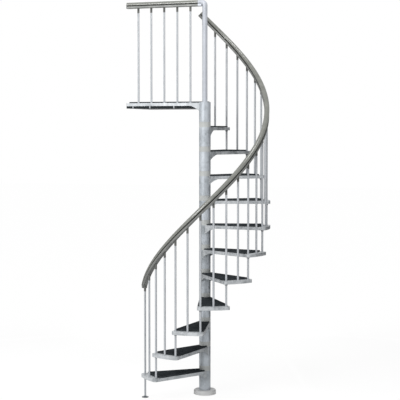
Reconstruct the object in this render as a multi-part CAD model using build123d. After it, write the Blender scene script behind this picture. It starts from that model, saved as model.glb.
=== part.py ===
from build123d import *
import os
from math import atan2, cos, degrees, hypot, pi, radians, sin, sqrt

# Spiral stair of galvanised steel: eleven wedge treads and a landing round one column.
# Millimetres. The origin is the centre of the base plate's underside, +Z is up.
# The landing's rail runs out along -X, so its two wall sides face -X and +Y.
# The stair climbs anticlockwise, seen from above.

# Flight
TREAD_COUNT = 11
RISER = 233.5
FIRST_RISE = 225.5            # from the floor to the lowest pan's top
STEP_ANGLE = 23.19
LANDING_ANGLE = 69.5          # from the landing's front baluster round to its rail
RAIL_HEADING = 180.0          # direction of the landing rail, anticlockwise from +X

# Column
POLE_RADIUS = 50.8
POLE_WALL = 3.6
SLEEVE_RADIUS = 55.0
SLIDE_GAP = 0.3               # between the pole and what slides over or into it
SPACER_HEIGHT = 50.0
SPACER_RADIUS = 54.6
CAP_THICKNESS = 5.0
CAP_PLUG = 12.0

# Foot
BASE_PLATE_RADIUS = 100.0
BASE_PLATE_THICKNESS = 10.0
ANCHOR_CIRCLE_RADIUS = 82.0
ANCHOR_HOLE_RADIUS = 6.5
ANCHOR_COUNT = 4
ANCHOR_START_ANGLE = 45.0
BASE_COVER_RADIUS = 107.5
BASE_COVER_HEIGHT = 42.0
BASE_COVER_WALL = 3.0
BASE_COVER_ROUND = 12.0
BASE_COVER_TAPER = 2.0        # the rim leans in by this much, up to its rounded edge

# Treads
TREAD_RADIUS = 625.0
BALUSTER_INSET = 35.0         # from a tread's rim to its balusters
EDGE_MARGIN = 36.0            # from the end balusters to a tread's side
SHEET = 3.0
FLANGE_DEPTH = 30.0
CORNER_ROUND = 28.0
INNER_HALF_WIDTH = 52.0       # from the column's axis to a tread's side
GUSSET_REACH = 92.0           # along a tread's side, from the column
GUSSET_DROP = 55.0            # down the column, from the underside of the pan
GUSSET_BOW = 7.0              # how far its edge curves in from a straight line
GUSSET_TIP = 1.0
GUSSET_THICKNESS = 5.0
BOSS_RADIUS = 17.0
BOSS_DEPTH = 14.0             # from the sheet down to the nut

# Mats
MAT_THICKNESS = 12.0
MAT_STRIP = 65.0              # bare strip that carries the balusters
MAT_INSET = 7.0
MAT_ROUND = 8.0
MAT_COLUMN_GAP = 2.0

# Landing
LANDING_LENGTH = 797.0        # along the rail, from the column's axis
LANDING_NOSE_REACH = 15.0     # the landing's front corner, past the treads' rims
LANDING_ROUND = 10.0
BEARER_DISTANCES = (303.0, 550.0, 726.0)
BEARER_WIDTH = 8.0
SOFFIT_DEPTH = 22.0
SOFFIT_INSET = 1.0
SOFFIT_COLUMN_GAP = 55.0      # between the boards and the column
SOFFIT_GUSSET_GAP = 2.0
NUT_POCKET_GAP = 1.0          # round the one nut that stands in the boards
WALL_HOLE_RADIUS = 6.0
SIDE_HOLE_DISTANCES = (320.0, 700.0)
END_HOLE_DISTANCES = (120.0, 500.0)

# Balusters
BALUSTER_RADIUS = 9.5
HOLE_GAP = 0.3
CONNECTOR_RADIUS = 10.8
CONNECTOR_LENGTH = 45.0
CONNECTOR_SEAT_GAP = 0.5
NUT_ACROSS_FLATS = 24.0
NUT_HEIGHT = 10.0
FLOOR_DISC_RADIUS = 32.0
FLOOR_DISC_HEIGHT = 6.0
LANDING_BALUSTER_FIRST = 146.0
LANDING_BALUSTER_PITCH = 133.7
LANDING_BALUSTER_COUNT = 5

# Rails
RAIL_HEIGHT = 872.5           # rail centre above a tread, at its front baluster
LANDING_RAIL_EXTRA = 72.5     # how much higher the rail stands over the landing
RAIL_WIDTH = 49.0
RAIL_CROWN = 20.0
RAIL_SIDE = 10.0
RAIL_CHAMFER = 4.0
GASKET_WIDTH = 26.0
GASKET_HEIGHT = 9.0
BAR_WIDTH = 46.0
BAR_HEIGHT = 21.0
BAR_ROUND = 6.0
RAIL_START_ANGLE = 3.5        # rail's reach past the lowest baluster
RAIL_END_ANGLE = 2.6          # rail's reach past the highest baluster
LANDING_RAIL_START = 65.0     # from the column's axis
END_CAP_THICKNESS = 4.0

# Newel
NEWEL_RADIUS = 24.5
NEWEL_BEND = 27.0

# Worked out from the sizes above
HALF_STEP = STEP_ANGLE / 2
FIRST_ANGLE = RAIL_HEADING - LANDING_ANGLE - TREAD_COUNT * STEP_ANGLE
LAST_BALUSTER = 2 * TREAD_COUNT
LANDING_TOP = FIRST_RISE + TREAD_COUNT * RISER
BALUSTER_CIRCLE_RADIUS = TREAD_RADIUS - BALUSTER_INSET
LANDING_NOSE_RADIUS = TREAD_RADIUS + LANDING_NOSE_REACH
MAT_OUTER_RADIUS = TREAD_RADIUS - MAT_STRIP
BORE_RADIUS = POLE_RADIUS + SLIDE_GAP
HOLE_RADIUS = BALUSTER_RADIUS + HOLE_GAP
NUT_POCKET_RADIUS = NUT_ACROSS_FLATS / sqrt(3) + NUT_POCKET_GAP
RAIL_FULL_HEIGHT = RAIL_CROWN + RAIL_SIDE + GASKET_HEIGHT + BAR_HEIGHT
RAIL_HALF_HEIGHT = RAIL_FULL_HEIGHT / 2
RAIL_PITCH = RISER * 360 / STEP_ANGLE
RAIL_SLOPE = degrees(atan2(RAIL_PITCH, 2 * pi * BALUSTER_CIRCLE_RADIUS))
LANDING_RAIL_CENTRE = LANDING_TOP + RAIL_HEIGHT + LANDING_RAIL_EXTRA
LANDING_RAIL_END = LANDING_LENGTH - END_CAP_THICKNESS


def save(name, shape):
    export_step(shape, f"parts/{name}.step")


def save_group(name, solids):
    save(name, Compound(children=list(solids)))


def disc(radius, bottom, top):
    height = top - bottom
    return Pos(0, 0, bottom) * Cylinder(radius, height, align=(Align.CENTER, Align.CENTER, Align.MIN))


def tube(outer, inner, bottom, top):
    return disc(outer, bottom, top) - disc(inner, bottom, top)


def prism(face, bottom, top):
    return Pos(0, 0, bottom) * extrude(face, top - bottom)


def polar(distance, angle):
    return (distance * cos(radians(angle)), distance * sin(radians(angle)))


def rod_at(place, radius, bottom, top):
    return Pos(*place) * disc(radius, bottom, top)


# Heights and headings of the flight


def baluster_angle(index):
    return FIRST_ANGLE + index * HALF_STEP


def baluster_place(index):
    return polar(BALUSTER_CIRCLE_RADIUS, baluster_angle(index))


def landing_baluster_places():
    places = []
    for index in range(LANDING_BALUSTER_COUNT):
        distance = LANDING_BALUSTER_FIRST + index * LANDING_BALUSTER_PITCH
        places.append(polar(distance, RAIL_HEADING))
    return places


def tread_top(step):
    return FIRST_RISE + (step - 1) * RISER


def on_step(shape, step):
    return Pos(0, 0, tread_top(step)) * Rot(0, 0, baluster_angle(2 * step - 1)) * shape


def rail_centre(index):
    return FIRST_RISE + RAIL_HEIGHT + index * RISER / 2


def stair_rail_underside(index):
    return rail_centre(index) - RAIL_HALF_HEIGHT / cos(radians(RAIL_SLOPE))


# Column and foot


def base_plate():
    plate = disc(BASE_PLATE_RADIUS, 0, BASE_PLATE_THICKNESS)
    for index in range(ANCHOR_COUNT):
        place = polar(ANCHOR_CIRCLE_RADIUS, ANCHOR_START_ANGLE + index * 360 / ANCHOR_COUNT)
        plate -= rod_at(place, ANCHOR_HOLE_RADIUS, 0, BASE_PLATE_THICKNESS)
    return plate


def cover_blank(inset):
    rim = BASE_COVER_RADIUS - inset
    top = BASE_COVER_HEIGHT - inset
    outline = make_face(Polyline((0, 0), (rim, 0), (rim - BASE_COVER_TAPER, top), (0, top), close=True))
    shoulder = outline.vertices().group_by(Axis.Y)[-1].sort_by(Axis.X)[-1:]
    return revolve(Plane.XZ * fillet(shoulder, BASE_COVER_ROUND - inset), Axis.Z)


def base_cover():
    bore = disc(SLEEVE_RADIUS + SLIDE_GAP, 0, BASE_COVER_HEIGHT)
    return cover_blank(0) - cover_blank(BASE_COVER_WALL) - bore


def centre_pole():
    return tube(POLE_RADIUS, POLE_RADIUS - POLE_WALL, BASE_PLATE_THICKNESS, LANDING_TOP)


def column_cap():
    plate = disc(SLEEVE_RADIUS, 0, CAP_THICKNESS)
    plug = disc(POLE_RADIUS - POLE_WALL - SLIDE_GAP, -CAP_PLUG, 0)
    return Pos(0, 0, LANDING_TOP) * (plate + plug)


def column_sleeves():
    sleeves = [tube(SLEEVE_RADIUS, BORE_RADIUS, BASE_PLATE_THICKNESS, tread_top(1))]
    for step in range(2, TREAD_COUNT + 2):
        bottom = tread_top(step - 1) + SPACER_HEIGHT
        sleeves.append(tube(SLEEVE_RADIUS, BORE_RADIUS, bottom, tread_top(step)))
    return sleeves


def spacer_rings():
    rings = []
    for step in range(1, TREAD_COUNT + 1):
        top = tread_top(step) + SPACER_HEIGHT
        rings.append(tube(SPACER_RADIUS, BORE_RADIUS, tread_top(step), top))
    return rings


# Pressed pans and gussets, drawn with their tops at Z = 0


def pan(outline, blind_holes, through_hole):
    """Sheet with turned-down sides. Its bosses stop above the nuts, or reach right down."""
    body = prism(outline, -FLANGE_DEPTH, 0)
    body -= prism(offset(outline, -SHEET), -FLANGE_DEPTH, -SHEET)
    body += rod_at(through_hole, BOSS_RADIUS, -FLANGE_DEPTH, -SHEET)
    for place in blind_holes:
        body += rod_at(place, BOSS_RADIUS, -SHEET - BOSS_DEPTH, -SHEET)
    for place in [through_hole, *blind_holes]:
        body -= rod_at(place, HOLE_RADIUS, -FLANGE_DEPTH, 0)
    return body - disc(SLEEVE_RADIUS, -FLANGE_DEPTH, 0)


def side_plane(near, far):
    """Upright plane along a pan's side, from the column's face, and how far that is from near."""
    length = hypot(far[0] - near[0], far[1] - near[1])
    heading = ((far[0] - near[0]) / length, (far[1] - near[1]) / length)
    along = near[0] * heading[0] + near[1] * heading[1]
    miss = near[0] * heading[1] - near[1] * heading[0]
    travel = sqrt(SLEEVE_RADIUS**2 - miss**2) - along
    start = (near[0] + travel * heading[0], near[1] + travel * heading[1], -FLANGE_DEPTH)
    normal = (heading[1], -heading[0], 0)
    return Plane(origin=start, x_dir=(*heading, 0), z_dir=normal), travel


def gusset(near, far, inward):
    """Plate under a pan's side, which runs from near to far. Inward points at the pan's middle."""
    side, travel = side_plane(near, far)
    rise = GUSSET_DROP - GUSSET_TIP
    edge = hypot(GUSSET_REACH, rise)
    middle = (
        GUSSET_REACH / 2 - GUSSET_BOW * rise / edge,
        GUSSET_BOW * GUSSET_REACH / edge - (GUSSET_DROP + GUSSET_TIP) / 2,
    )
    profile = make_face(
        [
            Line((-travel, 0), (GUSSET_REACH, 0)),
            Line((GUSSET_REACH, 0), (GUSSET_REACH, -GUSSET_TIP)),
            ThreePointArc((GUSSET_REACH, -GUSSET_TIP), middle, (0, -GUSSET_DROP)),
            Line((0, -GUSSET_DROP), (-travel, -GUSSET_DROP)),
            Line((-travel, -GUSSET_DROP), (-travel, 0)),
        ]
    )
    plate = extrude(side * profile, GUSSET_THICKNESS, dir=(*inward, 0))
    return plate - disc(SLEEVE_RADIUS, -FLANGE_DEPTH - GUSSET_DROP, -FLANGE_DEPTH)


def gusset_slot(near, far, inward):
    """Room for a gusset in the boards."""
    side, travel = side_plane(near, far)
    length = travel + GUSSET_REACH + SOFFIT_GUSSET_GAP
    room = Pos(-travel, 0) * Rectangle(length, SOFFIT_DEPTH, align=(Align.MIN, Align.MAX))
    return extrude(side * room, GUSSET_THICKNESS + SOFFIT_GUSSET_GAP, dir=(*inward, 0))


# Treads, drawn along +X


def tread_half_width():
    return BALUSTER_CIRCLE_RADIUS * sin(radians(HALF_STEP)) + EDGE_MARGIN


def tread_corner():
    half_width = tread_half_width()
    return (sqrt(TREAD_RADIUS**2 - half_width**2), half_width)


def tread_outline():
    reach, half_width = tread_corner()
    outline = make_face(
        [
            Line((0, -INNER_HALF_WIDTH), (reach, -half_width)),
            ThreePointArc((reach, -half_width), (TREAD_RADIUS, 0), (reach, half_width)),
            Line((reach, half_width), (0, INNER_HALF_WIDTH)),
            Line((0, INNER_HALF_WIDTH), (0, -INNER_HALF_WIDTH)),
        ]
    )
    return fillet(outline.vertices().sort_by(Axis.X)[-2:], CORNER_ROUND)


def tread_frame():
    front, middle, rear = [polar(BALUSTER_CIRCLE_RADIUS, turn) for turn in (-HALF_STEP, 0, HALF_STEP)]
    return pan(tread_outline(), [middle, rear], front)


def tread_gussets():
    reach, half_width = tread_corner()
    left = gusset((0, INNER_HALF_WIDTH), (reach, half_width), (0, -1))
    right = gusset((0, -INNER_HALF_WIDTH), (reach, -half_width), (0, 1))
    return [left, right]


def tread_mat():
    outline = offset(tread_outline(), -MAT_INSET) & Circle(MAT_OUTER_RADIUS)
    outline = fillet(outline.vertices().sort_by(Axis.X)[-2:], MAT_ROUND)
    return prism(outline - Circle(SLEEVE_RADIUS + MAT_COLUMN_GAP), 0, MAT_THICKNESS)


# Landing, with its rail side along -X


def landing_nose():
    """Ends of the landing's front side: beside the column, and at the corner."""
    angle = baluster_angle(LAST_BALUSTER)
    near = polar(INNER_HALF_WIDTH, angle - 90)
    reach = polar(sqrt(LANDING_NOSE_RADIUS**2 - EDGE_MARGIN**2), angle)
    aside = polar(EDGE_MARGIN, angle - 90)
    return near, (reach[0] + aside[0], reach[1] + aside[1])


def landing_outline():
    near, corner = landing_nose()
    points = [
        (0, -EDGE_MARGIN),
        near,
        corner,
        (-LANDING_LENGTH, corner[1]),
        (-LANDING_LENGTH, -EDGE_MARGIN),
    ]
    outline = make_face(Polyline(*points, close=True))
    corners = outline.vertices().filter_by(lambda v: hypot(v.X, v.Y) > SLEEVE_RADIUS)
    return fillet(corners, LANDING_ROUND)


def landing_frame():
    frame = pan(landing_outline(), landing_baluster_places(), baluster_place(LAST_BALUSTER))
    depth = landing_nose()[1][1]
    level = -(SHEET + FLANGE_DEPTH) / 2
    length = 2 * SHEET
    for distance in SIDE_HOLE_DISTANCES:
        frame -= Pos(-distance, depth, level) * Rot(90, 0, 0) * Cylinder(WALL_HOLE_RADIUS, length)
    for distance in END_HOLE_DISTANCES:
        frame -= Pos(-LANDING_LENGTH, distance, level) * Rot(0, 90, 0) * Cylinder(WALL_HOLE_RADIUS, length)
    return frame


def landing_sides():
    """Ends and inward direction of the landing's rail side and of its front side."""
    rail_side = ((0, -EDGE_MARGIN), (-LANDING_LENGTH, -EDGE_MARGIN), (0, 1))
    front_side = (*landing_nose(), polar(1, baluster_angle(LAST_BALUSTER) + 90))
    return rail_side, front_side


def landing_gussets():
    return [gusset(*side) for side in landing_sides()]


def landing_mat():
    outline = offset(landing_outline(), -MAT_INSET, kind=Kind.INTERSECTION)
    strip = MAT_STRIP - EDGE_MARGIN
    keep = Pos(0, strip) * Rectangle(2 * LANDING_LENGTH, LANDING_LENGTH, align=(Align.CENTER, Align.MIN))
    hole = Pos(*baluster_place(LAST_BALUSTER)) * Circle(BOSS_RADIUS)
    outline = (outline & keep) - Circle(SLEEVE_RADIUS + MAT_COLUMN_GAP) - hole
    return prism(outline, 0, MAT_THICKNESS)


def landing_bearers():
    depth = landing_nose()[1][1]
    width = depth + EDGE_MARGIN - 2 * SOFFIT_INSET
    middle = (depth - EDGE_MARGIN) / 2
    bearer = Box(BEARER_WIDTH, width, SOFFIT_DEPTH, align=(Align.CENTER, Align.CENTER, Align.MAX))
    return [Pos(-distance, middle, -FLANGE_DEPTH) * bearer for distance in BEARER_DISTANCES]


def landing_soffit():
    outline = offset(landing_outline(), -SOFFIT_INSET, kind=Kind.INTERSECTION)
    outline -= Circle(SLEEVE_RADIUS + SOFFIT_COLUMN_GAP)
    outline -= Pos(*baluster_place(LAST_BALUSTER)) * Circle(NUT_POCKET_RADIUS)
    boards = prism(outline, -FLANGE_DEPTH - SOFFIT_DEPTH, -FLANGE_DEPTH)
    slots = [gusset_slot(*side) for side in landing_sides()]
    return (boards - slots - landing_bearers()).solids()


# Balusters


def baluster_foot(step):
    return tread_top(step) - SHEET - BOSS_DEPTH


def long_balusters():
    """Every second one: it stands in a tread's rear corner and passes the next one's front."""
    rods = []
    for index in range(0, LAST_BALUSTER + 1, 2):
        foot = baluster_foot(index // 2)
        if index == 0:
            foot = FLOOR_DISC_HEIGHT
        top = stair_rail_underside(index) - CONNECTOR_LENGTH
        rods.append(rod_at(baluster_place(index), BALUSTER_RADIUS, foot, top))
    return rods


def short_balusters():
    rods = []
    for index in range(1, LAST_BALUSTER, 2):
        foot = baluster_foot((index + 1) // 2)
        top = stair_rail_underside(index) - CONNECTOR_LENGTH
        rods.append(rod_at(baluster_place(index), BALUSTER_RADIUS, foot, top))
    return rods


def landing_balusters():
    foot = baluster_foot(TREAD_COUNT + 1)
    top = LANDING_RAIL_CENTRE - RAIL_HALF_HEIGHT - CONNECTOR_LENGTH
    return [rod_at(place, BALUSTER_RADIUS, foot, top) for place in landing_baluster_places()]


def floor_disc():
    return rod_at(baluster_place(0), FLOOR_DISC_RADIUS, 0, FLOOR_DISC_HEIGHT)


def baluster_connectors():
    reach = CONNECTOR_RADIUS / cos(radians(RAIL_SLOPE)) * 2
    blank = disc(CONNECTOR_RADIUS, -CONNECTOR_LENGTH, reach)
    above = Box(4 * reach, 4 * reach, 4 * reach, align=(Align.CENTER, Align.CENTER, Align.MIN))
    sloped = blank - Pos(0, 0, -CONNECTOR_SEAT_GAP) * Rot(RAIL_SLOPE, 0, 0) * above
    solids = []
    for index in range(LAST_BALUSTER + 1):
        place = Pos(*baluster_place(index), stair_rail_underside(index))
        solids.append(place * Rot(0, 0, baluster_angle(index)) * sloped)
    top = LANDING_RAIL_CENTRE - RAIL_HALF_HEIGHT
    for place in landing_baluster_places():
        solids.append(rod_at(place, CONNECTOR_RADIUS, top - CONNECTOR_LENGTH, top))
    return solids


def baluster_nuts():
    """Closed nuts inside the pans, and rings under them round the balusters that pass through."""
    closed = prism(RegularPolygon(NUT_ACROSS_FLATS / 2, 6, major_radius=False), -NUT_HEIGHT, 0)
    ring = closed - disc(HOLE_RADIUS, -NUT_HEIGHT, 0)
    solids = []
    for step in range(1, TREAD_COUNT + 2):
        front = Pos(*baluster_place(2 * step - 2), tread_top(step) - FLANGE_DEPTH)
        solids.append(front * ring)
    for step in range(1, TREAD_COUNT + 1):
        for index in (2 * step - 1, 2 * step):
            solids.append(Pos(*baluster_place(index), baluster_foot(step)) * closed)
    for place in landing_baluster_places():
        solids.append(Pos(*place, baluster_foot(TREAD_COUNT + 1)) * closed)
    return solids


# Rail sections, drawn about the rail's centre with Y up


def head_section():
    half = RAIL_WIDTH / 2
    crown = RAIL_HALF_HEIGHT - RAIL_CROWN
    foot = crown - RAIL_SIDE
    return make_face(
        [
            ThreePointArc((half, crown), (0, RAIL_HALF_HEIGHT), (-half, crown)),
            Polyline(
                (-half, crown),
                (-half, foot + RAIL_CHAMFER),
                (-half + RAIL_CHAMFER, foot),
                (half - RAIL_CHAMFER, foot),
                (half, foot + RAIL_CHAMFER),
                (half, crown),
            ),
        ]
    )


def gasket_section():
    top = RAIL_HALF_HEIGHT - RAIL_CROWN - RAIL_SIDE
    return Pos(0, top) * Rectangle(GASKET_WIDTH, GASKET_HEIGHT, align=(Align.CENTER, Align.MAX))


def bar_section():
    bar = Pos(0, -RAIL_HALF_HEIGHT) * Rectangle(BAR_WIDTH, BAR_HEIGHT, align=(Align.CENTER, Align.MIN))
    return fillet(bar.vertices().sort_by(Axis.Y)[:2], BAR_ROUND)


def cap_section():
    half = RAIL_WIDTH / 2
    crown = RAIL_HALF_HEIGHT - RAIL_CROWN
    outline = make_face(
        [
            ThreePointArc((half, crown), (0, RAIL_HALF_HEIGHT), (-half, crown)),
            Polyline(
                (-half, crown), (-half, -RAIL_HALF_HEIGHT), (half, -RAIL_HALF_HEIGHT), (half, crown)
            ),
        ]
    )
    return fillet(outline.vertices().sort_by(Axis.Y)[:2], BAR_ROUND)


def stair_rail_path():
    turn = TREAD_COUNT * STEP_ANGLE + RAIL_START_ANGLE + RAIL_END_ANGLE
    return Helix(RAIL_PITCH, RAIL_PITCH * turn / 360, BALUSTER_CIRCLE_RADIUS)


def section_plane(path, position):
    point = path.position_at(position)
    outward = Vector(point.X, point.Y, 0)
    return Plane(origin=point, x_dir=outward, z_dir=-path.tangent_at(position))


def on_stair(shape):
    height = rail_centre(0) - RAIL_PITCH * RAIL_START_ANGLE / 360
    return Pos(0, 0, height) * Rot(0, 0, FIRST_ANGLE - RAIL_START_ANGLE) * shape


def stair_rail(section):
    path = stair_rail_path()
    return on_stair(sweep(section_plane(path, 0) * section, path=path, is_frenet=True))


def landing_rail(section, start, stop):
    end = Plane(origin=(-start, 0, LANDING_RAIL_CENTRE), x_dir=(0, 1, 0), z_dir=(1, 0, 0))
    return extrude(end * section, stop - start, dir=(-1, 0, 0))


def handrail_end_caps():
    path = stair_rail_path()
    caps = []
    for position, way in ((0, -1), (1, 1)):
        face = section_plane(path, position) * cap_section()
        outward = path.tangent_at(position) * way
        caps.append(on_stair(extrude(face, END_CAP_THICKNESS, dir=outward)))
    caps.append(landing_rail(cap_section(), LANDING_RAIL_END, LANDING_LENGTH))
    return caps


# Newel: a post on the column that bends over into the landing rail


def newel_post():
    foot = LANDING_TOP + CAP_THICKNESS
    level = LANDING_RAIL_CENTRE + RAIL_HALF_HEIGHT - NEWEL_RADIUS
    bend = NEWEL_BEND
    path = Wire(
        [
            Line((0, 0, foot), (0, 0, level - bend)),
            ThreePointArc(
                (0, 0, level - bend),
                (-bend * (1 - cos(radians(45))), 0, level - bend * (1 - sin(radians(45)))),
                (-bend, 0, level),
            ),
        ]
    )
    post = sweep(Plane(origin=(0, 0, foot)) * Circle(NEWEL_RADIUS), path=path)
    for section in (head_section(), gasket_section(), bar_section()):
        post += landing_rail(section, bend, LANDING_RAIL_START)
    return post


def build():
    os.makedirs("parts", exist_ok=True)
    steps = range(1, TREAD_COUNT + 1)
    frame, mat, gussets = tread_frame(), tread_mat(), tread_gussets()
    at_landing = Pos(0, 0, LANDING_TOP)

    save("base_plate", base_plate())
    save("base_cover", base_cover())
    save("centre_pole", centre_pole())
    save("column_cap", column_cap())
    save_group("column_sleeves", column_sleeves())
    save_group("spacer_rings", spacer_rings())

    for step in steps:
        save(f"tread_frame_{step:02d}", on_step(frame, step))
        save(f"tread_mat_{step:02d}", on_step(mat, step))
    save_group("tread_gussets", [on_step(plate, step) for step in steps for plate in gussets])

    save("landing_frame", at_landing * landing_frame())
    save("landing_mat", at_landing * landing_mat())
    save_group("landing_gussets", [at_landing * plate for plate in landing_gussets()])
    save_group("landing_bearers", [at_landing * bar for bar in landing_bearers()])
    save_group("landing_soffit", [at_landing * board for board in landing_soffit()])

    save_group("long_balusters", long_balusters())
    save_group("short_balusters", short_balusters())
    save_group("landing_balusters", landing_balusters())
    save_group("baluster_connectors", baluster_connectors())
    save_group("baluster_nuts", baluster_nuts())
    save("floor_disc", floor_disc())

    sections = {"handrail": head_section(), "rail_gasket": gasket_section(), "rail_bar": bar_section()}
    for name, section in sections.items():
        save(f"stair_{name}", stair_rail(section))
        save(f"landing_{name}", landing_rail(section, LANDING_RAIL_START, LANDING_RAIL_END))
    save_group("handrail_end_caps", handrail_end_caps())
    save("newel_post", newel_post())


if __name__ == "__main__":
    build()
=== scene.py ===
"""Looks for the galvanised spiral stair: camera, studio, materials and small fittings.

Metres and degrees. The column stands on the origin, and the stair climbs anticlockwise.
"""

from math import cos, hypot, pi, radians, sin, sqrt

import bmesh
import bpy
from mathutils import Matrix, Vector


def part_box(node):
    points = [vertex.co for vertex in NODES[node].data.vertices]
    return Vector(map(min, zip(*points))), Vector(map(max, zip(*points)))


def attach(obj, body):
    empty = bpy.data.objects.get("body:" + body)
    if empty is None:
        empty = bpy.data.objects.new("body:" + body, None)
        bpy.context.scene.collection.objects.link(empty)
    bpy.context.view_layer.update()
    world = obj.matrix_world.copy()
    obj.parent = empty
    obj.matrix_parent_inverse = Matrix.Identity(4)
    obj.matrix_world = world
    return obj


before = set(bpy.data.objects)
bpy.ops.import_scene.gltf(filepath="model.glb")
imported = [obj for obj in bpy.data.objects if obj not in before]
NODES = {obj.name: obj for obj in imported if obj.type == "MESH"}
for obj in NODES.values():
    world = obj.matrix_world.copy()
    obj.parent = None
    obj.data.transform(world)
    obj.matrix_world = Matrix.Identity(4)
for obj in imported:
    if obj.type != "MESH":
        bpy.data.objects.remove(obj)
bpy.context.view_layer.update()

# Camera, at the photograph's angle. The sensor is in millimetres
CAMERA_DISTANCE = 11.201
CAMERA_HEIGHT = 2.532
CAMERA_AZIMUTH = 18.9
CAMERA_PITCH = 2.433
CAMERA_YAW = 0.238
CAMERA_SHIFT = -0.05
FOCAL_PIXELS = 1173.0
IMAGE_SIZE = 400.0
SENSOR_WIDTH = 36.0

# Flight
TREAD_COUNT = 11
FIRST_PAN_LOW, FIRST_PAN_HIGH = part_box("tread_frame_01")
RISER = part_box("tread_frame_02")[1].z - FIRST_PAN_HIGH.z
STEP_ANGLE = 23.19
HALF_STEP = STEP_ANGLE / 2
LANDING_ANGLE = 69.5               # from the landing's front baluster round to its rail
RAIL_HEADING = 180.0               # direction of the landing rail, anticlockwise from +X
FIRST_ANGLE = RAIL_HEADING - LANDING_ANGLE - TREAD_COUNT * STEP_ANGLE
LAST_BALUSTER = 2 * TREAD_COUNT
BALUSTER_CIRCLE = 0.590
FLANGE_DEPTH = FIRST_PAN_HIGH.z - FIRST_PAN_LOW.z
GUSSET_DROP = FIRST_PAN_LOW.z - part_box("tread_gussets")[0].z
SLEEVE_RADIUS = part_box("column_sleeves")[1].x
NEWEL_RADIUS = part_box("newel_post")[1].y
LANDING_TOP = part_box("landing_frame")[1].z
LANDING_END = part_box("landing_frame")[0].x

# Treads
INNER_HALF_WIDTH = 0.052           # from the column's axis to a tread's side
EDGE_MARGIN = 0.036                # from the end balusters to a tread's side
TREAD_RADIUS = 0.625
TREAD_HALF_WIDTH = BALUSTER_CIRCLE * sin(radians(HALF_STEP)) + EDGE_MARGIN
TREAD_REACH = sqrt(TREAD_RADIUS**2 - TREAD_HALF_WIDTH**2)

# Mats and their ribs
MAT_RADIUS = 0.560
MAT_INSET = 0.007
MAT_COLUMN_GAP = 0.002
RIB_PITCH = 0.009
RIB_WIDTH = 0.0034
RIB_CREST = 0.0022
RIB_HEIGHT = 0.0008
RIB_END_GAP = 0.005
SHORTEST_RIB = 4 * RIB_PITCH

# Weld beads
BEAD_RADIUS = 0.0022
BEAD_SIDES = 8
BEAD_RIPPLE = 0.004
BEAD_STEP = BEAD_RIPPLE / 3        # between the rings that a bead is made of
BEAD_SWELL = 0.18                  # share of the radius that the ripples take off
BEAD_TIP = 0.35                    # share of the radius at a bead's ends
BEAD_TAPER = 12                    # how fast it grows from there
BEAD_LIFT = 0.2 * BEAD_RADIUS      # of its middle line, off the column
NEWEL_BEAD_RADIUS = 1.2 * BEAD_RADIUS
NEWEL_BEAD_SWELL = 0.15
NEWEL_BEAD_LIFT = 0.4 * BEAD_RADIUS

# Screws and nut
SCREW_RADIUS = 0.0028
SCREW_SIDES = 12
SCREW_RISE = 0.0006
SCREW_RIM = 0.86                   # this and the next two are shares of the screw's radius
SOCKET_LIP = 0.52
SOCKET_FLOOR = 0.48
CONNECTOR_RADIUS = 0.0108
CONNECTOR_SCREW_RISE = 0.020       # above the connector's lower end
BALUSTER_RADIUS = 0.0095
NUT_SIDES = 6
LOCK_NUT_RADIUS = 0.0145
LOCK_NUT_HEIGHT = 0.009
LOCK_NUT_CHAMFER = 0.0015
LANDING_BALUSTER_FIRST = 0.146
LANDING_BALUSTER_PITCH = 0.1337
LANDING_BALUSTER_COUNT = 5
BOSS_RADIUS = 0.017

# Painted shade on the column, just under each hub
HUB_SHADE_AMOUNT = 0.5
HUB_SHADE_DROP = 0.037                 # from a pan's top down to the darkest level
HUB_SHADE_CORE = 0.012                 # it is darkest up to this far from that level
HUB_SHADE_REACH = 0.085                # and gone this far from it
HUB_SHADE_FULL = 1.6                   # up to this height it has its full amount
HUB_SHADE_FAINT = 2.0                  # and from this height on only a tenth of it
HUB_SHADE_COLOUR = (0.110, 0.125, 0.120)

# Colours of zinc and plastic, the light end and the dark end of each
STEEL_COLOURS = (0.610, 0.635, 0.655), (0.280, 0.300, 0.315)
COLUMN_COLOURS = (0.560, 0.600, 0.645), (0.330, 0.360, 0.385)
TUBE_COLOURS = (0.510, 0.530, 0.555), (0.430, 0.450, 0.475)
# Darker zinc for the nuts: painted shade of the nuts under the treads. The floor disc and the foot's lock
# nut share it.
SHADED_NUT_COLOURS = (0.220, 0.235, 0.250), (0.150, 0.160, 0.175)
BAR_COLOURS = (0.235, 0.240, 0.230), (0.150, 0.155, 0.150)
NEWEL_COLOURS = (0.515, 0.538, 0.584), (0.423, 0.446, 0.488)
CONNECTOR_COLOURS = (0.150, 0.153, 0.145), (0.100, 0.103, 0.098)
SPACER_COLOURS = (0.520, 0.538, 0.530), (0.445, 0.460, 0.453)
COVER_COLOURS = (0.720, 0.720, 0.720), (0.600, 0.600, 0.600)
HANDRAIL_COLOURS = (0.235, 0.240, 0.218), (0.175, 0.180, 0.162)
HANDRAIL_FLECK = (0.13, 0.135, 0.12)
MAT_COLOURS = (0.050, 0.056, 0.061), (0.026, 0.031, 0.034)
MAT_PEBBLE = (0.072, 0.080, 0.088)
# Near-black board under the landing: its colour is painted shade under the landing
SOFFIT_SHADE_COLOURS = (0.024, 0.029, 0.033), (0.010, 0.013, 0.015)
# Near-black strip in the rails' groove: its colour is painted shade of the groove
GROOVE_SHADE_COLOURS = (0.022, 0.024, 0.022), (0.008, 0.009, 0.008)

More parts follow.
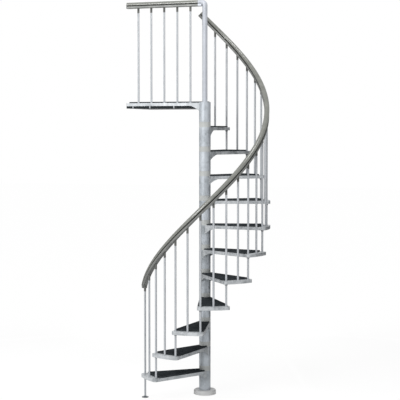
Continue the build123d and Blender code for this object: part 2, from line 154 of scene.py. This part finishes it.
# Studio. Places are to the camera's right, away from it and up, from the column's foot
FLOOR_HALF = 40.0
AIM = (0.0, 0.0, 1.8)
KEY_PLACE = (-5.5, -7.0, 5.5)
KEY_SIZE = 3.5
KEY_POWER = 385.0
TOP_PLACE = (0.5, -2.0, 7.5)
TOP_SIZE = 1.4
TOP_POWER = 90.0
CARD_FOOT = 0.05
BLACK_CARDS = (                    # two ends on the floor plan, and the height of the top
    ("card_right", (2.5, -0.3), (2.5, 2.4), 2.9),
    ("card_near_right", (1.0, 0.2), (0.9, 1.7), 1.85),
    ("card_back_right", (1.6, 3.2), (3.6, 2.4), 3.2),
    ("card_back_left", (-3.6, 2.4), (-1.6, 3.2), 4.4),
)
AMBIENT = 0.62
FLOOR_GLOW = 0.88
FLOOR_GLOW_STRENGTH = 1.06


# Directions and places


def polar(distance, angle, height=0.0):
    return Vector((distance * cos(radians(angle)), distance * sin(radians(angle)), height))


def from_camera_heading(place):
    turn = Matrix.Rotation(radians(CAMERA_AZIMUTH), 3, "Z")
    return turn @ Vector(place)


def baluster_angle(index):
    return FIRST_ANGLE + index * HALF_STEP


def tread_heading(step):
    return baluster_angle(2 * step - 1)


def tread_top(step):
    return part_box(f"tread_frame_{step:02d}")[1].z


# Mesh pieces


def add_piece(name, bm, material):
    mesh = bpy.data.meshes.new(name)
    bm.to_mesh(mesh)
    bm.free()
    piece = bpy.data.objects.new(name, mesh)
    piece.data.materials.append(material)
    bpy.context.scene.collection.objects.link(piece)
    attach(piece, "root")


def add_ring(bm, centre, axis_u, axis_v, radius, sides):
    """Points on a circle round the centre, in the plane of the two axes."""
    verts = []
    for index in range(sides):
        angle = 2 * pi * index / sides
        verts.append(bm.verts.new(centre + radius * (cos(angle) * axis_u + sin(angle) * axis_v)))
    return verts


def bridge(bm, lower, upper):
    """Faces from one ring of points to the next."""
    count = len(lower)
    for index in range(count):
        after = (index + 1) % count
        bm.faces.new((lower[index], lower[after], upper[after], upper[index]))


# Weld beads


def rippled(radius, swell, along):
    """A bead's radius, at that distance along it."""
    return radius * (1 - swell + swell * abs(sin(pi * along / BEAD_RIPPLE)))


def add_bead(bm, start, end):
    """Rippled weld bead from start to end, thinner at its tips."""
    run = end - start
    axis = run.normalized()
    side = axis.orthogonal().normalized()
    other = axis.cross(side)
    count = int(run.length / BEAD_STEP)
    rings = []
    for index in range(count + 1):
        share = index / count
        taper = min(1.0, BEAD_TIP + BEAD_TAPER * min(share, 1 - share))
        radius = rippled(BEAD_RADIUS, BEAD_SWELL, share * run.length) * taper
        rings.append(add_ring(bm, start + run * share, side, other, radius, BEAD_SIDES))
    for lower, upper in zip(rings, rings[1:]):
        bridge(bm, lower, upper)
    bm.faces.new(rings[0][::-1])
    bm.faces.new(rings[-1])


def add_newel_bead(bm, level):
    """Rippled weld bead all round the newel's foot."""
    up = Vector((0, 0, 1))
    count = int(2 * pi * NEWEL_RADIUS / BEAD_STEP)
    rings = []
    for index in range(count):
        angle = 2 * pi * index / count
        outward = Vector((cos(angle), sin(angle), 0))
        radius = rippled(NEWEL_BEAD_RADIUS, NEWEL_BEAD_SWELL, angle * NEWEL_RADIUS)
        rings.append(add_ring(bm, up * level + outward * NEWEL_RADIUS, outward, up, radius, BEAD_SIDES))
    for index in range(count):
        bridge(bm, rings[index], rings[(index + 1) % count])


def side_start(near, far):
    """Where the side of a tread or of the landing meets the column."""
    run = (far - near).normalized()
    along = near.dot(run)
    miss = near.cross(run).z
    return near + run * (sqrt(SLEEVE_RADIUS**2 - miss**2) - along)


def tread_sides(heading):
    """Inner and outer end of each of a tread's two sides, seen from above."""
    turn = Matrix.Rotation(radians(heading), 3, "Z")
    sides = []
    for hand in (-1, 1):
        near = turn @ Vector((0, hand * INNER_HALF_WIDTH, 0))
        far = turn @ Vector((TREAD_REACH, hand * TREAD_HALF_WIDTH, 0))
        sides.append((near, far))
    return sides


def landing_sides():
    """Inner and outer end of the landing's rail side and of its front side."""
    angle = baluster_angle(LAST_BALUSTER)
    near = polar(INNER_HALF_WIDTH, angle - 90)
    far = polar(BALUSTER_CIRCLE, angle) + polar(EDGE_MARGIN, angle - 90)
    rail_side = (Vector((0, -EDGE_MARGIN, 0)), Vector((LANDING_END, -EDGE_MARGIN, 0)))
    return [rail_side, (near, far)]


def build_weld_beads(material):
    bm = bmesh.new()
    joints = []
    for step in range(1, TREAD_COUNT + 1):
        joints += [(side, tread_top(step)) for side in tread_sides(tread_heading(step))]
    joints += [(side, LANDING_TOP) for side in landing_sides()]
    for (near, far), top in joints:
        corner = side_start(near, far)
        corner = corner * (1 + BEAD_LIFT / corner.length)
        high = corner + Vector((0, 0, top - 2 * BEAD_RADIUS))
        low = corner + Vector((0, 0, top - FLANGE_DEPTH - GUSSET_DROP + BEAD_RADIUS))
        add_bead(bm, high, low)
    add_newel_bead(bm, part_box("newel_post")[0].z + NEWEL_BEAD_LIFT)
    for face in bm.faces:
        face.smooth = True
    add_piece("weld_beads", bm, material)


# Ribs of the rubber mats


def add_rib(bm, start, end, top):
    """One raised rib with sloping flanks, from start to end on a mat's top."""
    run = (end - start).normalized()
    across = Vector((-run.y, run.x, 0))
    low_level, high_level = Vector((0, 0, top)), Vector((0, 0, top + RIB_HEIGHT))
    rings = []
    for place, inward in ((start, run), (end, -run)):
        crest = place + inward * (RIB_WIDTH - RIB_CREST) / 2 + high_level
        points = [place + across * RIB_WIDTH / 2 + low_level]
        points += [crest + across * RIB_CREST / 2, crest - across * RIB_CREST / 2]
        points += [place - across * RIB_WIDTH / 2 + low_level]
        rings.append([bm.verts.new(point) for point in points])
    first, last = rings
    for index in range(3):
        bm.faces.new((first[index], last[index], last[index + 1], first[index + 1]))
    bm.faces.new((first[3], last[3], last[0], first[0]))
    bm.faces.new(first)
    bm.faces.new(last[::-1])


def tread_rib_run(offset):
    """Start and end of a rib at that distance from a tread's middle line."""
    slope = (TREAD_HALF_WIDTH - INNER_HALF_WIDTH) / TREAD_REACH
    inner = INNER_HALF_WIDTH - MAT_INSET * hypot(1, slope) - RIB_WIDTH
    distance = abs(offset)
    start = sqrt(max((SLEEVE_RADIUS + MAT_COLUMN_GAP) ** 2 - distance**2, 0))
    start = max(start, (distance - inner) / slope) + RIB_END_GAP
    return start, sqrt(MAT_RADIUS**2 - distance**2) - RIB_END_GAP


def build_tread_ribs(step, material):
    bm = bmesh.new()
    turn = Matrix.Rotation(radians(tread_heading(step)), 3, "Z")
    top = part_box(f"tread_mat_{step:02d}")[1].z
    count = int(TREAD_HALF_WIDTH / RIB_PITCH)
    for index in range(-count, count + 1):
        offset = index * RIB_PITCH
        start, end = tread_rib_run(offset)
        if end - start > SHORTEST_RIB:
            add_rib(bm, turn @ Vector((start, offset, 0)), turn @ Vector((end, offset, 0)), top)
    bmesh.ops.recalc_face_normals(bm, faces=bm.faces)
    add_piece(f"tread_mat_ribs_{step:02d}", bm, material)


def landing_rib_start(depth):
    """How near the front edge a landing rib may begin, at that distance along +Y."""
    near, far = landing_sides()[1]
    run = (far - near).normalized()
    inset = (MAT_INSET + RIB_END_GAP) / abs(run.y)
    return near.x + (depth - near.y) * run.x / run.y - inset


def build_landing_ribs(material):
    """Ribs along the landing's rail. They stop at the column and at the front baluster."""
    bm = bmesh.new()
    low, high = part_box("landing_mat")
    hole = polar(BALUSTER_CIRCLE, baluster_angle(LAST_BALUSTER))
    clear = BOSS_RADIUS + RIB_END_GAP
    column = SLEEVE_RADIUS + MAT_COLUMN_GAP + RIB_END_GAP
    depth = low.y + RIB_PITCH
    while depth < high.y - RIB_PITCH / 2:
        start = landing_rib_start(depth) if depth > 0 else -column
        start = min(start, high.x - RIB_END_GAP)
        if abs(depth) < column:
            start = min(start, -sqrt(column**2 - depth**2))
        end = low.x + RIB_END_GAP
        miss = depth - hole.y
        runs = [(start, end)]
        if abs(miss) < clear:
            half = sqrt(clear**2 - miss**2)
            runs = [(start, hole.x + half), (hole.x - half, end)]
        for first, last in runs:
            if first - last > RIB_PITCH:
                add_rib(bm, Vector((first, depth, 0)), Vector((last, depth, 0)), high.z)
        depth += RIB_PITCH
    bmesh.ops.recalc_face_normals(bm, faces=bm.faces)
    add_piece("landing_mat_ribs", bm, material)


# Screws of the baluster connectors, and the foot's lock nut


def add_socket_screw(bm, place, facing):
    """Round head with a round recess. Its rings run from the back over the rim to the recess."""
    up = Vector((0, 0, 1))
    side = up.cross(facing).normalized()
    profile = ((-SCREW_RISE, 1), (SCREW_RISE * 2 / 3, 1), (SCREW_RISE, SCREW_RIM))
    profile += ((SCREW_RISE, SOCKET_LIP), (-SCREW_RISE / 2, SOCKET_FLOOR))
    rings = []
    for rise, share in profile:
        rings.append(add_ring(bm, place + facing * rise, side, up, share * SCREW_RADIUS, SCREW_SIDES))
    for lower, upper in zip(rings, rings[1:]):
        bridge(bm, lower, upper)
    bm.faces.new(rings[-1])
    bm.faces.new(rings[0][::-1])


def baluster_lines():
    """Each baluster's place, seen from above, and the way that its connector's screw faces."""
    lines = []
    for index in range(LAST_BALUSTER + 1):
        place = polar(BALUSTER_CIRCLE, baluster_angle(index))
        lines.append((place, -place.normalized()))
    for index in range(LANDING_BALUSTER_COUNT):
        place = Vector((-LANDING_BALUSTER_FIRST - index * LANDING_BALUSTER_PITCH, 0, 0))
        lines.append((place, Vector((0, 1, 0))))
    return lines


def build_connector_screws(material):
    """A screw in each connector. The height of its lower end is read from the frame."""
    bm = bmesh.new()
    corners = [vertex.co for vertex in NODES["baluster_connectors"].data.vertices]
    for place, facing in baluster_lines():
        near = [co.z for co in corners if hypot(co.x - place.x, co.y - place.y) < 2 * CONNECTOR_RADIUS]
        level = Vector((0, 0, min(near) + CONNECTOR_SCREW_RISE))
        add_socket_screw(bm, place + level + facing * CONNECTOR_RADIUS, facing)
    bmesh.ops.recalc_face_normals(bm, faces=bm.faces)
    add_piece("connector_screws", bm, material)


def build_lock_nut(material):
    """Six-sided nut with chamfered corners, on the lowest baluster's foot."""
    bm = bmesh.new()
    place = polar(BALUSTER_CIRCLE, baluster_angle(0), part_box("floor_disc")[1].z)
    side, other, up = Vector((1, 0, 0)), Vector((0, 1, 0)), Vector((0, 0, 1))
    chamfer = LOCK_NUT_CHAMFER
    flat = LOCK_NUT_RADIUS - chamfer
    profile = ((0, flat), (chamfer, LOCK_NUT_RADIUS), (LOCK_NUT_HEIGHT - chamfer, LOCK_NUT_RADIUS))
    profile += ((LOCK_NUT_HEIGHT, flat), (LOCK_NUT_HEIGHT, BALUSTER_RADIUS))
    rings = []
    for rise, radius in profile:
        rings.append(add_ring(bm, place + up * rise, side, other, radius, NUT_SIDES))
    for lower, upper in zip(rings, rings[1:]):
        bridge(bm, lower, upper)
    bm.faces.new(rings[0][::-1])
    bm.faces.new(rings[-1])
    bmesh.ops.recalc_face_normals(bm, faces=bm.faces)
    add_piece("foot_lock_nut", bm, material)


# Shader nodes


class Shader:
    """A material's node tree, with short names for the nodes that it uses."""

    def __init__(self, name):
        self.material = bpy.data.materials.new(name)
        self.material.use_nodes = True
        self.tree = self.material.node_tree
        self.tree.nodes.clear()
        self.place = self.add("ShaderNodeTexCoord").outputs["Object"]

    def add(self, kind, inputs=None, **settings):
        made = self.tree.nodes.new(kind)
        for key, value in settings.items():
            setattr(made, key, value)
        for key, value in (inputs or {}).items():
            if isinstance(value, bpy.types.NodeSocket):
                self.tree.links.new(value, made.inputs[key])
            else:
                made.inputs[key].default_value = value
        return made

    def stretched(self, x, y, z):
        inputs = {"Vector": self.place, "Scale": (x, y, z)}
        return self.add("ShaderNodeMapping", inputs).outputs["Vector"]

    def noise(self, scale, detail=3.0, vector=None):
        inputs = {"Vector": vector or self.place, "Scale": scale, "Detail": detail}
        return self.add("ShaderNodeTexNoise", inputs).outputs["Fac"]

    def cells(self, scale, vector=None):
        inputs = {"Vector": vector or self.place, "Scale": scale}
        colour = self.add("ShaderNodeTexVoronoi", inputs).outputs["Color"]
        return self.add("ShaderNodeSeparateColor", {"Color": colour}).outputs["Red"]

    def ripple(self, amount, scale):
        """Object coordinates pushed about by noise, so that cells get ragged edges."""
        wave = self.add("ShaderNodeTexNoise", {"Vector": self.place, "Scale": scale}).outputs["Color"]
        push = self.add("ShaderNodeVectorMath", {0: wave, "Scale": amount}, operation="SCALE")
        return self.add("ShaderNodeVectorMath", {0: self.place, 1: push.outputs[0]}).outputs[0]

    def spread(self, value, low, high, start=0.3, stop=0.7):
        inputs = {"Value": value, "From Min": start, "From Max": stop, "To Min": low, "To Max": high}
        return self.add("ShaderNodeMapRange", inputs).outputs["Result"]

    def blend(self, factor, first, second):
        """From the first colour to the second. Each is a socket or three numbers."""
        made = self.add("ShaderNodeMix", {"Factor": factor}, data_type="RGBA", blend_type="MIX")
        for socket, value in ((made.inputs[6], first), (made.inputs[7], second)):
            if isinstance(value, bpy.types.NodeSocket):
                self.tree.links.new(value, socket)
            else:
                socket.default_value = (*value, 1.0)
        return made.outputs[2]

    def bump(self, height, strength, distance, normal=None):
        inputs = {"Height": height, "Strength": strength, "Distance": distance}
        if normal is not None:
            inputs["Normal"] = normal
        return self.add("ShaderNodeBump", inputs).outputs["Normal"]

    def soft_edges(self, radius):
        return self.add("ShaderNodeBevel", {"Radius": radius}, samples=4).outputs["Normal"]

    def painted_hub_shade(self, amount):
        """Painted shade, up to that amount just under each tread, in blotches. It thins out up the column.
        """
        height = self.add("ShaderNodeSeparateXYZ", {"Vector": self.place}).outputs["Z"]
        darkest = FIRST_PAN_HIGH.z - HUB_SHADE_DROP
        moved = self.add("ShaderNodeMath", {0: height, 1: darkest}, operation="SUBTRACT").outputs[0]
        away = self.add("ShaderNodeMath", {0: moved, 1: RISER / 2}, operation="PINGPONG").outputs[0]
        near = self.spread(away, amount, 0.0, HUB_SHADE_CORE, HUB_SHADE_REACH)
        blotches = self.spread(self.noise(22.0, 4.0), 0.25, 1.0, 0.35, 0.6)
        lower = self.spread(height, 1.0, 0.1, HUB_SHADE_FULL, HUB_SHADE_FAINT)
        both = self.add("ShaderNodeMath", {0: near, 1: blotches}, operation="MULTIPLY").outputs[0]
        return self.add("ShaderNodeMath", {0: both, 1: lower}, operation="MULTIPLY").outputs[0]

    def surface(self, colour, roughness, normal, specular, metallic=0.0):
        inputs = {"Base Color": colour, "Roughness": roughness, "Normal": normal}
        inputs["Metallic"] = metallic
        inputs["Specular IOR Level"] = specular
        made = self.add("ShaderNodeBsdfPrincipled", inputs)
        self.add("ShaderNodeOutputMaterial", {"Surface": made.outputs["BSDF"]})
        return self.material


def galvanised(name, colours, metallic, spangle, hub_shade=0.0):
    """Zinc coat: small ragged crystals, cloudy patches, runs down the height and, when asked, painted shade
    just under the hubs.
    """
    light, dark = colours
    shade = Shader(name)
    ragged = shade.ripple(0.012, 60.0)
    crystal = shade.cells(spangle, ragged)
    cloud = shade.noise(7.0, 5.0)
    runs = shade.noise(1.0, 4.0, shade.stretched(38.0, 38.0, 5.0))
    patches = shade.blend(shade.spread(cloud, 0.0, 1.0, 0.35, 0.65), dark, light)
    crystals = shade.blend(shade.spread(crystal, 0.0, 0.7, 0.0, 1.0), patches, light)
    colour = shade.blend(shade.spread(runs, 0.0, 0.35, 0.45, 0.75), crystals, dark)
    if hub_shade:
        # Painted shade, darkest just under each tread and fading up the column
        colour = shade.blend(shade.painted_hub_shade(hub_shade), colour, HUB_SHADE_COLOUR)
    roughness = shade.spread(crystal, 0.36, 0.58, 0.0, 1.0)
    normal = shade.bump(shade.noise(420.0, 2.0), 0.12, 0.001, shade.soft_edges(0.0012))
    normal = shade.bump(crystal, 0.05, 0.0004, normal)
    return shade.surface(colour, roughness, normal, specular=0.4, metallic=metallic)


def moulded_plastic(name, colours, roughness=0.45):
    """Moulded plastic: fine grain and a little fading."""
    light, dark = colours
    shade = Shader(name)
    colour = shade.blend(shade.spread(shade.noise(14.0, 4.0), 0.0, 1.0), dark, light)
    rough = shade.spread(shade.noise(90.0), roughness - 0.05, roughness + 0.08)
    normal = shade.bump(shade.noise(1500.0, 2.0), 0.10, 0.0004, shade.soft_edges(0.0015))
    return shade.surface(colour, rough, normal, specular=0.4)


def handrail_plastic():
    """Extruded rail: faint streaks along it and a satin skin."""
    light, dark = HANDRAIL_COLOURS
    shade = Shader("handrail_plastic")
    streaks = shade.noise(1.0, 3.0, shade.stretched(9.0, 9.0, 26.0))
    fleck = shade.noise(260.0, 2.0)
    base = shade.blend(shade.spread(streaks, 0.0, 1.0), dark, light)
    colour = shade.blend(shade.spread(fleck, 0.0, 0.25), base, HANDRAIL_FLECK)
    rough = shade.spread(streaks, 0.20, 0.28)
    normal = shade.bump(fleck, 0.08, 0.0004, shade.soft_edges(0.0015))
    return shade.surface(colour, rough, normal, specular=0.65)


def mat_rubber():
    """Dark rubber with a fine pebbled skin and dusty patches."""
    light, dark = MAT_COLOURS
    shade = Shader("mat_rubber")
    dust = shade.noise(11.0, 5.0)
    pebble = shade.cells(420.0)
    base = shade.blend(shade.spread(dust, 0.0, 1.0, 0.35, 0.7), dark, light)
    colour = shade.blend(shade.spread(pebble, 0.0, 0.35, 0.0, 1.0), base, MAT_PEBBLE)
    rough = shade.spread(dust, 0.70, 0.88)
    normal = shade.bump(shade.noise(900.0, 2.0), 0.25, 0.0006)
    return shade.surface(colour, rough, normal, specular=0.0)


def soffit_board():
    """Film-faced board under the landing. Its near-black skin is painted shade under the landing; a faint
    grain runs along the boards.
    """
    light, dark = SOFFIT_SHADE_COLOURS
    shade = Shader("soffit_board")
    grain = shade.noise(1.0, 4.0, shade.stretched(14.0, 160.0, 160.0))
    colour = shade.blend(shade.spread(grain, 0.0, 1.0), dark, light)
    rough = shade.spread(grain, 0.45, 0.62)
    normal = shade.bump(grain, 0.15, 0.0006)
    return shade.surface(colour, rough, normal, specular=0.08)


def gasket_rubber():
    """Near-black strip with a fine grain. Its near-black colour is painted shade of the groove between the
    rail's head and its bar.
    """
    light, dark = GROOVE_SHADE_COLOURS
    shade = Shader("gasket_rubber")
    grain = shade.noise(200.0, 3.0)
    colour = shade.blend(shade.spread(grain, 0.0, 1.0), dark, light)
    rough = shade.spread(grain, 0.6, 0.8)
    normal = shade.bump(grain, 0.15, 0.0004)
    return shade.surface(colour, rough, normal, specular=0.2)


def studio_floor():
    """White for the camera, apart from the object's own soft shadow."""
    shade = Shader("studio_floor")
    grain = shade.noise(3.0, 2.0)
    colour = shade.blend(grain, (0.80, 0.80, 0.80), (0.84, 0.84, 0.84))
    lit = shade.add("ShaderNodeBsdfDiffuse", {"Color": colour})
    white = {"Color": (1.0, 1.0, 1.0, 1.0), "Strength": FLOOR_GLOW_STRENGTH}
    glow = shade.add("ShaderNodeEmission", white)
    seen = {0: background_rays(shade.tree), 1: FLOOR_GLOW}
    share = shade.add("ShaderNodeMath", seen, operation="MULTIPLY")
    both = shade.add("ShaderNodeMixShader", {"Fac": share.outputs[0]})
    shade.tree.links.new(lit.outputs["BSDF"], both.inputs[1])
    shade.tree.links.new(glow.outputs["Emission"], both.inputs[2])
    shade.add("ShaderNodeOutputMaterial", {"Surface": both.outputs["Shader"]})
    return shade.material


def black_card():
    """Dark board beside the object, for its metal to reflect."""
    shade = Shader("black_card")
    grain = shade.noise(5.0, 2.0)
    colour = shade.blend(grain, (0.008, 0.008, 0.008), (0.012, 0.012, 0.012))
    lit = shade.add("ShaderNodeBsdfDiffuse", {"Color": colour})
    shade.add("ShaderNodeOutputMaterial", {"Surface": lit.outputs["BSDF"]})
    return shade.material


def background_rays(tree):
    """1 for the rays that see the background: camera, glossy and transmission rays."""
    path = tree.nodes.new("ShaderNodeLightPath")
    total = path.outputs["Is Camera Ray"]
    for name in ("Is Glossy Ray", "Is Transmission Ray"):
        either = tree.nodes.new("ShaderNodeMath")
        either.operation = "MAXIMUM"
        tree.links.new(total, either.inputs[0])
        tree.links.new(path.outputs[name], either.inputs[1])
        total = either.outputs[0]
    return total


# Camera and studio


def place_camera():
    heading = radians(CAMERA_AZIMUTH)
    data = bpy.data.cameras.new("camera")
    data.sensor_width = SENSOR_WIDTH
    data.lens = SENSOR_WIDTH * FOCAL_PIXELS / IMAGE_SIZE
    data.shift_y = CAMERA_SHIFT
    data.dof.use_dof = False
    camera = bpy.data.objects.new("camera", data)
    bpy.context.scene.collection.objects.link(camera)
    camera.location = from_camera_heading((0.0, -CAMERA_DISTANCE, CAMERA_HEIGHT))
    pitch, yaw = radians(CAMERA_PITCH), radians(CAMERA_YAW)
    camera.rotation_euler = (pi / 2 - pitch, 0.0, heading + yaw)
    bpy.context.scene.camera = camera


def add_area_light(name, place, size, power):
    data = bpy.data.lights.new(name, "AREA")
    data.shape = "DISK"
    data.size = size
    data.energy = power
    lamp = bpy.data.objects.new(name, data)
    bpy.context.scene.collection.objects.link(lamp)
    lamp.location = from_camera_heading(place)
    aim = Vector(AIM) - lamp.location
    lamp.rotation_mode = "QUATERNION"
    lamp.rotation_quaternion = aim.to_track_quat("-Z", "Y")


def add_plane(name, corners, material):
    mesh = bpy.data.meshes.new(name)
    mesh.from_pydata([tuple(corner) for corner in corners], [], [(0, 1, 2, 3)])
    plane = bpy.data.objects.new(name, mesh)
    plane.data.materials.append(material)
    bpy.context.scene.collection.objects.link(plane)
    return plane


def build_studio():
    half = FLOOR_HALF
    corners = [(-half, -half, 0), (half, -half, 0), (half, half, 0), (-half, half, 0)]
    add_plane("studio_floor", corners, studio_floor())

    black = black_card()
    for name, start, end, top in BLACK_CARDS:
        corners = [(*start, CARD_FOOT), (*end, CARD_FOOT), (*end, top), (*start, top)]
        card = add_plane(name, [from_camera_heading(corner) for corner in corners], black)
        card.visible_camera = False
        card.visible_shadow = False

    add_area_light("key", KEY_PLACE, KEY_SIZE, KEY_POWER)
    add_area_light("top", TOP_PLACE, TOP_SIZE, TOP_POWER)
    light_world()


def light_world():
    """White for the rays that see the background, and a plain level for the object."""
    world = bpy.data.worlds.new("studio")
    world.use_nodes = True
    tree = world.node_tree
    background = tree.nodes["Background"]
    background.inputs["Color"].default_value = (1.0, 1.0, 1.0, 1.0)
    lift = tree.nodes.new("ShaderNodeMapRange")
    tree.links.new(background_rays(tree), lift.inputs["Value"])
    lift.inputs["To Min"].default_value = AMBIENT
    lift.inputs["To Max"].default_value = 1.0
    tree.links.new(lift.outputs["Result"], background.inputs["Strength"])
    bpy.context.scene.world = world
    bpy.context.scene.view_settings.view_transform = "Standard"


# Materials on the frame's own nodes


def paint(material, *names):
    for name in names:
        slots = NODES[name].data.materials
        slots.clear()
        slots.append(material)


def dress_frame():
    steel = galvanised("galvanised_steel", STEEL_COLOURS, metallic=0.30, spangle=45.0)
    # The column's zinc carries painted shade just under each hub
    column = galvanised("galvanised_column", COLUMN_COLOURS, metallic=0.42, spangle=40.0, hub_shade=HUB_SHADE_AMOUNT)
    tube = galvanised("galvanised_tube", TUBE_COLOURS, metallic=0.30, spangle=110.0)
    # Darker zinc: painted shade of the nuts under the treads
    nut = galvanised("galvanised_nut_shaded", SHADED_NUT_COLOURS, metallic=0.40, spangle=140.0)
    bar = galvanised("rail_steel", BAR_COLOURS, metallic=0.25, spangle=120.0)
    post = galvanised("galvanised_newel", NEWEL_COLOURS, metallic=0.15, spangle=60.0)
    rubber = mat_rubber()
    connector = moulded_plastic("connector_plastic", CONNECTOR_COLOURS, roughness=0.5)

    for step in range(1, TREAD_COUNT + 1):
        paint(steel, f"tread_frame_{step:02d}")
        paint(rubber, f"tread_mat_{step:02d}")
        build_tread_ribs(step, rubber)
    paint(steel, "tread_gussets", "landing_frame", "landing_gussets", "base_plate")
    paint(post, "newel_post")
    paint(column, "centre_pole", "column_cap", "column_sleeves")
    paint(tube, "long_balusters", "short_balusters", "landing_balusters", "landing_bearers")
    paint(nut, "baluster_nuts", "floor_disc")
    paint(bar, "stair_rail_bar", "landing_rail_bar")
    paint(rubber, "landing_mat")
    # Near-black painted shade under the landing
    paint(soffit_board(), "landing_soffit")
    # Near-black painted shade in the rails' groove
    paint(gasket_rubber(), "stair_rail_gasket", "landing_rail_gasket")
    paint(handrail_plastic(), "stair_handrail", "landing_handrail")
    paint(connector, "baluster_connectors", "handrail_end_caps")
    paint(moulded_plastic("spacer", SPACER_COLOURS), "spacer_rings")
    paint(moulded_plastic("cover_plastic", COVER_COLOURS, roughness=0.4), "base_cover")

    build_landing_ribs(rubber)
    build_weld_beads(steel)
    build_connector_screws(bar)
    build_lock_nut(nut)


place_camera()
build_studio()
dress_frame()
